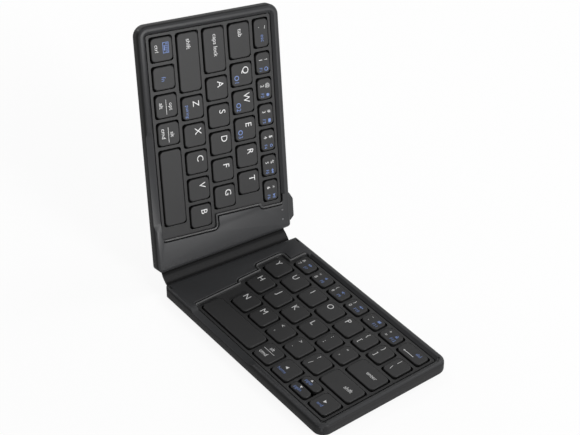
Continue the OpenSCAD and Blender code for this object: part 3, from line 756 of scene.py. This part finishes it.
def make_keys(node, tree, cap, look):
    """One body's caps and legends as a single piece in place of its CAD node"""
    body = node + "_cap"
    place = LEFT if is_left(node) else RIGHT
    outlines = key_outlines(node, place)
    points = bpy.data.meshes.new(node + "_points")
    points.from_pydata([(x, y, 0) for x, y, _, _ in outlines], [], [])
    for name, index in (("half_w", 2), ("half_d", 3)):
        attribute = points.attributes.new(name, "FLOAT", "POINT")
        attribute.data.foreach_set("value", [outline[index] for outline in outlines])
    holder = new_object(node + "_points", points)
    modifier = holder.modifiers.new("Caps", "NODES")
    modifier.node_group = tree
    for item in tree.interface.items_tree:
        if item.name == "Cap" and item.in_out == "INPUT":
            modifier[item.identifier] = cap
        if item.name == "Reference half":
            modifier[item.identifier] = REFERENCE_HALF
    mesh = evaluated_mesh(holder)
    holder.modifiers.remove(modifier)
    bpy.data.objects.remove(holder)
    smooth(mesh)
    mesh.materials.clear()
    for finish in ("keycap", "white_ink", "blue_ink", "cap_wall_shade"):
        mesh.materials.append(look[finish])
    # painted shade: faces that do not face up, the cap sides, take the dark cap side material
    for face in mesh.polygons:
        if face.normal.z < 0.5:
            face.material_index = 3
    thickness = bpy.context.scene.keyboard_shape.ink_height
    bm = bmesh.new()
    bm.from_mesh(mesh)
    for outline, marks in zip(outlines, MARKS[node]):
        print_marks(bm, marks, outline[:2], thickness)
    bm.to_mesh(mesh)
    bm.free()
    mesh.transform(place)
    for name in ("local", "half_w", "half_d"):
        if name in mesh.attributes:
            mesh.attributes.remove(mesh.attributes[name])
    piece = new_object(node + "_printed", mesh)
    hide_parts(node)
    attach(piece, body)


def is_left(node):
    parents = {joint["child"]: joint["parent"] for joint in frame["joints"]}
    return parents[node + "_cap"] == "left_half"


class KEYBOARD_OT_keys(bpy.types.Operator):
    """Makes every key cap with its legends"""

    bl_idname = "keyboard.keys"
    bl_label = "Key caps"

    def execute(self, context):
        look = finishes()
        cap = reference_cap()
        tree = cap_tree(look["keycap"])
        for node in sorted(NODES):
            if node in MARKS:
                make_keys(node, tree, cap, look)
        bpy.data.objects.remove(cap)
        return {"FINISHED"}


# ---- eased covers and decks ---------------------------------------------------------

# The wall band and the steepness pick the outer walls that get the painted shade; the rest pick the step
# edges to round
WALL_SHADE_BAND = 1.5 * MM
STEEP = 0.7
TOP_BAND = 0.05 * MM
SHORTEST_STEP = 40 * MM
STEP_MARGIN = 2 * MM


def chains(edges):
    """Groups of edges that touch each other"""
    left_over = set(edges)
    while left_over:
        chain = [left_over.pop()]
        stack = list(chain)
        while stack:
            for vert in stack.pop().verts:
                for edge in vert.link_edges:
                    if edge in left_over:
                        left_over.remove(edge)
                        chain.append(edge)
                        stack.append(edge)
        yield chain


def is_upper_edge(edge):
    """A sharp outward edge with one face up"""
    return (
        len(edge.link_faces) == 2 and edge.is_convex and edge.calc_face_angle() > math.radians(30)
        and max(face.normal.z for face in edge.link_faces) > 0.9
    )


def walls_to_shade(mesh_faces, verts):
    """Steep faces on the outer walls of a cover, in the half's own frame, that take the painted shade"""
    low = [min(vert.co[i] for vert in verts) for i in (0, 1)]
    high = [max(vert.co[i] for vert in verts) for i in (0, 1)]
    for face in mesh_faces:
        middle = face.calc_center_median()
        for i in (0, 1):
            outward = max(
                -face.normal[i] if middle[i] < low[i] + WALL_SHADE_BAND else 0,
                face.normal[i] if middle[i] > high[i] - WALL_SHADE_BAND else 0,
            )
            if outward > STEEP:
                yield face


def ease_edges(node, width, look, between=None):
    """A copy of a cover or deck, in place of the node, with its edge at the step rounded; a deck's rounding
    takes the painted highlight colour and a cover's outer walls the painted shade
    """
    side = node.split("_")[0]
    place = LEFT if side == "left" else RIGHT
    bm = bmesh.new()
    bm.from_mesh(NODES[node].data)
    bmesh.ops.remove_doubles(bm, verts=bm.verts, dist=MERGE_DISTANCE)
    bm.transform(place.inverted())
    bmesh.ops.dissolve_limit(bm, angle_limit=math.radians(0.5), verts=bm.verts, edges=bm.edges)
    bm.normal_update()
    top = max(vert.co.z for vert in bm.verts) - TOP_BAND
    edges = []
    for edge in bm.edges:
        level = all(vert.co.z > top for vert in edge.verts)
        inside = between is None or all(between[0] < vert.co.x < between[1] for vert in edge.verts)
        if level and inside and is_upper_edge(edge):
            edges.append(edge)
    chosen = []
    for chain in chains(edges):
        if sum(edge.calc_length() for edge in chain) > SHORTEST_STEP:
            chosen += chain
    if not chosen:
        raise RuntimeError("no step edge on " + node)
    along = [vert.co.x for edge in chosen for vert in edge.verts]
    reach = (min(along) - STEP_MARGIN, max(along) + STEP_MARGIN)
    # painted highlight: on a deck the new rounded faces take material 1, the lighter edge colour
    bmesh.ops.bevel(bm, geom=chosen, offset=width, offset_type="OFFSET", segments=4, profile=0.5,
                    affect="EDGES", clamp_overlap=False, material=0 if between else 1)
    if between:
        # painted shade: a cover's outer walls take material 2, the darker wall colour
        bm.normal_update()
        for face in walls_to_shade(bm.faces, bm.verts):
            face.material_index = 2
    bmesh.ops.triangulate(bm, faces=bm.faces)
    bm.transform(place)
    mesh = bpy.data.meshes.new(node + "_eased")
    bm.to_mesh(mesh)
    bm.free()
    smooth(mesh, 28)
    mesh.materials.append(look[SLOT_OF[node]])
    mesh.materials.append(look["painted_edge_highlight"])
    mesh.materials.append(look["cover_wall"])
    piece = new_object(node + "_eased", mesh)
    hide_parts(node)
    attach(piece, side + "_half")
    return reach


class KEYBOARD_OT_shells(bpy.types.Operator):
    """Rounds the lip of each deck and the cover's edge beside it, with a painted highlight on the deck's lip
    and painted shade on the covers' outer walls
    """

    bl_idname = "keyboard.shells"
    bl_label = "Eased covers"

    def execute(self, context):
        look = finishes()
        shape = context.scene.keyboard_shape
        for side in ("left", "right"):
            reach = ease_edges(side + "_key_deck", shape.lip_edge, look)
            ease_edges(side + "_top_cover", shape.cover_edge, look, reach)
        return {"FINISHED"}


# ---- creases --------------------------------------------------------------------------


# how far from a crease the skin takes the painted fold shade
FOLD_SHADE_REACH = 0.6 * MM
BLEND_REACH = 1.3 * MM
CABLE_STEP = 0.3 * MM


def crease_section(out_len, in_len, edge_half, web_half, mid_half):
    """Upper and lower outline of the skin at a crease, from the half to the spine's middle"""
    steps = 12
    upper, lower = [], []
    out_dir = Vector((math.cos(BEND), math.sin(BEND)))
    for i in range(steps + 1):
        share = i / steps
        s = out_len * (1 - share) - in_len * share
        if s > 0:
            t = s / out_len
            half = web_half + (edge_half - web_half) * t * t * (3 - 2 * t)
        else:
            t = min(1.0, -s / (2 * MM))
            half = web_half + (mid_half - web_half) * t * t * (3 - 2 * t)
        # the centre line turns smoothly from the half's plane to the spine's
        ease = max(0.0, min(1.0, (s + 1.0 * MM) / (2.0 * MM)))
        turn = BEND * ease * ease * (3 - 2 * ease)
        normal = Vector((-math.sin(turn), math.cos(turn)))
        centre = out_dir * s if s > 0 else Vector((s, 0))
        if abs(s) < 1.0 * MM:
            centre = centre + Vector((0, 1)) * 0.18 * MM * (1 - abs(s) / MM)
        upper.append(centre + normal * half)
        lower.append(centre - normal * half)
    return upper, lower


def bend_at_crease(piece, side):
    """Bakes a piece's placement into its mesh; the points either side of the crease are worked out but not
    used
    """
    out_point = Vector((BLEND_REACH * math.cos(BEND), 0, BLEND_REACH * math.sin(BEND)))
    in_point = Vector((-BLEND_REACH, 0, 0))
    if side == "left":
        out_point.x = -CREASE_GAP - out_point.x
        in_point.x = -CREASE_GAP - in_point.x
    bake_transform(piece)


def crease_skin(side, look):
    """The soft skin over one crease, out to the middle of the spine, with painted shade near the crease"""
    shape = bpy.context.scene.keyboard_shape
    upper, lower = crease_section(
        1.4 * MM, CREASE_GAP / 2, shape.web_thickness / 2, shape.web_thickness / 2, shape.skin_thickness / 2
    )
    outline = upper + list(reversed(lower))
    mirror = side == "left"
    rows = 24
    rings = []
    for row in range(rows + 1):
        y = (row / rows - 0.5) * shape.skin_length
        ring = []
        for point in outline:
            x = -CREASE_GAP - point.x if mirror else point.x
            ring.append(SPINE @ Vector((x, y, point.y)))
        rings.append(ring)
    mesh = loft(rings, side + "_crease_skin")
    bm = bmesh.new()
    bm.from_mesh(mesh)
    bmesh.ops.recalc_face_normals(bm, faces=bm.faces)
    bm.to_mesh(mesh)
    bm.free()
    smooth(mesh, 40)
    mesh.materials.append(look["spine_fabric"])
    mesh.materials.append(look["crease_shade"])
    # painted shade: faces within the fold reach of the crease take the dark fold material
    to_spine = SPINE.inverted()
    for face in mesh.polygons:
        x = (to_spine @ face.center).x
        if (-CREASE_GAP - x if mirror else x) > -FOLD_SHADE_REACH:
            face.material_index = 1
    piece = new_object(side + "_crease_skin", mesh)
    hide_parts(side + "_crease_web", "spine_band")
    bend_at_crease(piece, side)


def cable_part(side, look):
    """One half's share of the flat cable, which bends at the crease"""
    bm = bmesh.new()
    bm.from_mesh(NODES["flat_cable"].data)
    bmesh.ops.remove_doubles(bm, verts=bm.verts, dist=MERGE_DISTANCE)
    bm.transform(SPINE.inverted())
    crease = -CREASE_GAP if side == "left" else 0
    cut = bmesh.ops.bisect_plane(
        bm, geom=[*bm.verts, *bm.edges, *bm.faces], plane_co=(-CREASE_GAP / 2, 0, 0), plane_no=(1, 0, 0),
        clear_inner=side == "right", clear_outer=side == "left",
    )
    bmesh.ops.holes_fill(bm, edges=[item for item in cut["geom_cut"] if isinstance(item, bmesh.types.BMEdge)])
    for step in range(-6, 7):
        bmesh.ops.bisect_plane(
            bm, geom=[*bm.verts, *bm.edges, *bm.faces],
            plane_co=(crease + step * CABLE_STEP, 0, 0), plane_no=(1, 0, 0),
        )
    bmesh.ops.triangulate(bm, faces=bm.faces)
    bmesh.ops.recalc_face_normals(bm, faces=bm.faces)
    bm.transform(SPINE)
    mesh = bpy.data.meshes.new(side + "_cable")
    bm.to_mesh(mesh)
    bm.free()
    smooth(mesh, 40)
    mesh.materials.append(look[SLOT_OF["flat_cable"]])
    piece = new_object(side + "_cable", mesh)
    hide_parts("flat_cable")
    bend_at_crease(piece, side)


class KEYBOARD_OT_spine(bpy.types.Operator):
    """Makes the skin and the cable that bend at both creases"""

    bl_idname = "keyboard.spine"
    bl_label = "Spine skin"

    def execute(self, context):
        look = finishes()
        for side in ("right", "left"):
            crease_skin(side, look)
            cable_part(side, look)
        return {"FINISHED"}


class KEYBOARD_OT_finish(bpy.types.Operator):
    """Gives every construction part its finish"""

    bl_idname = "keyboard.finish"
    bl_label = "Finishes"

    def execute(self, context):
        look = finishes()
        for node, part in NODES.items():
            part.data.materials.clear()
            part.data.materials.append(look[SLOT_OF[node]])
        return {"FINISHED"}


# ---- stage -----------------------------------------------------------------------------

CAMERA_PLACE = Vector((574.75, -454.82, 648.93)) * MM
CAMERA_BACK = Vector((0.627618, -0.484588, 0.609319))
CAMERA_RIGHT = Vector((0.607157, 0.794555, 0.006513))
FOCAL_PIXELS = 1659.4
FRAME_WIDTH = 580
SOFT_LIGHT = 0.22
FLOOR_GLOW = 0.9


def sees_backdrop(nodes, links):
    """1 for a ray from the camera, from gloss or through glass, 0 for soft light"""
    path = nodes.new("ShaderNodeLightPath")
    total = path.outputs["Is Camera Ray"]
    for name in ("Is Glossy Ray", "Is Transmission Ray"):
        either = nodes.new("ShaderNodeMath")
        either.operation = "MAXIMUM"
        links.new(total, either.inputs[0])
        links.new(path.outputs[name], either.inputs[1])
        total = either.outputs[0]
    return total


def floor_finish():
    """Pale floor that keeps most of the object's shadow and is white elsewhere"""
    made = bpy.data.materials.new("Pale floor")
    made.use_nodes = True
    nodes, links = made.node_tree.nodes, made.node_tree.links
    shader = nodes["Principled BSDF"]
    shader.inputs["Base Color"].default_value = (0.96, 0.96, 0.96, 1)
    shader.inputs["Roughness"].default_value = 0.9
    shader.inputs["Specular IOR Level"].default_value = 0.1
    glow = nodes.new("ShaderNodeEmission")
    glow.inputs["Strength"].default_value = 1.0
    amount = nodes.new("ShaderNodeMath")
    amount.operation = "MULTIPLY"
    amount.inputs[1].default_value = FLOOR_GLOW
    links.new(sees_backdrop(nodes, links), amount.inputs[0])
    mix = nodes.new("ShaderNodeMixShader")
    links.new(amount.outputs[0], mix.inputs[0])
    links.new(shader.outputs[0], mix.inputs[1])
    links.new(glow.outputs[0], mix.inputs[2])
    links.new(mix.outputs[0], nodes["Material Output"].inputs["Surface"])
    return made


def area_light(name, place, size, power):
    lamp = bpy.data.lights.new(name, "AREA")
    lamp.shape = "DISK"
    lamp.size = size
    lamp.energy = power
    holder = new_object(name, lamp)
    holder.location = place
    aim = Vector((0, 0, 0.03)) - Vector(place)
    holder.rotation_euler = aim.to_track_quat("-Z", "Y").to_euler()


def make_world():
    world = bpy.data.worlds.new("Studio")
    world.use_nodes = True
    nodes, links = world.node_tree.nodes, world.node_tree.links
    for node in list(nodes):
        nodes.remove(node)
    soft = nodes.new("ShaderNodeBackground")
    soft.inputs["Color"].default_value = (1, 1, 1, 1)
    soft.inputs["Strength"].default_value = SOFT_LIGHT
    seen = nodes.new("ShaderNodeBackground")
    seen.inputs["Color"].default_value = (1, 1, 1, 1)
    seen.inputs["Strength"].default_value = 1.0
    mix = nodes.new("ShaderNodeMixShader")
    out = nodes.new("ShaderNodeOutputWorld")
    links.new(sees_backdrop(nodes, links), mix.inputs[0])
    links.new(soft.outputs[0], mix.inputs[1])
    links.new(seen.outputs[0], mix.inputs[2])
    links.new(mix.outputs[0], out.inputs["Surface"])
    bpy.context.scene.world = world


def make_floor():
    mesh = bpy.data.meshes.new("floor")
    reach = 3
    mesh.from_pydata([(-reach, -reach, 0), (reach, -reach, 0), (reach, reach, 0), (-reach, reach, 0)], [],
                     [(0, 1, 2, 3)])
    floor = new_object("floor", mesh)
    floor.location.z = -0.0002
    mesh.materials.append(floor_finish())


def make_camera():
    lens = bpy.data.cameras.new("camera")
    lens.sensor_fit = "HORIZONTAL"
    lens.sensor_width = 36
    lens.lens = 36 * FOCAL_PIXELS / FRAME_WIDTH
    lens.clip_start = 0.01
    holder = new_object("camera", lens)
    up = CAMERA_BACK.cross(CAMERA_RIGHT).normalized()
    turn = Matrix((CAMERA_RIGHT, up, CAMERA_BACK)).transposed()
    holder.matrix_world = Matrix.Translation(CAMERA_PLACE) @ turn.to_4x4()
    bpy.context.scene.camera = holder


class KEYBOARD_OT_stage(bpy.types.Operator):
    """Sets the floor, the soft lights and the camera"""

    bl_idname = "keyboard.stage"
    bl_label = "Studio"

    def execute(self, context):
        make_world()
        make_floor()
        make_camera()
        area_light("key light", (1.2, 0.15, 0.38), 0.4, 15.5)
        area_light("back light", (-0.1, 0.75, 0.9), 0.4, 3)
        area_light("left light", (-1.2, 0.1, 0.75), 1.0, 9)
        context.scene.view_settings.view_transform = "Standard"
        return {"FINISHED"}


# ---- panel and registration ----------------------------------------------------------------


class KEYBOARD_PT_panel(bpy.types.Panel):
    """Lists the steps that dress the keyboard"""

    bl_label = "Folding keyboard"
    bl_idname = "KEYBOARD_PT_panel"
    bl_space_type = "VIEW_3D"
    bl_region_type = "UI"
    bl_category = "Keyboard"

    def draw(self, context):
        column = self.layout.column()
        for operator in OPERATORS:
            column.operator(operator.bl_idname)
        for group in (context.scene.keyboard_shape, context.scene.keyboard_finish):
            for name in group.bl_rna.properties.keys():
                if name not in {"rna_type", "name"}:
                    column.prop(group, name)


OPERATORS = (KEYBOARD_OT_finish, KEYBOARD_OT_shells, KEYBOARD_OT_keys, KEYBOARD_OT_spine, KEYBOARD_OT_stage)
CLASSES = (KeyboardShape, KeyboardFinish, *OPERATORS, KEYBOARD_PT_panel)


def register():
    for item in CLASSES:
        bpy.utils.register_class(item)
    bpy.types.Scene.keyboard_shape = PointerProperty(type=KeyboardShape)
    bpy.types.Scene.keyboard_finish = PointerProperty(type=KeyboardFinish)


def unregister():
    del bpy.types.Scene.keyboard_finish
    del bpy.types.Scene.keyboard_shape
    for item in reversed(CLASSES):
        bpy.utils.unregister_class(item)


def main():
    register()
    bpy.ops.keyboard.finish()
    bpy.ops.keyboard.shells()
    bpy.ops.keyboard.keys()
    bpy.ops.keyboard.spine()
    bpy.ops.keyboard.stage()


if __name__ == "__main__":
    main()
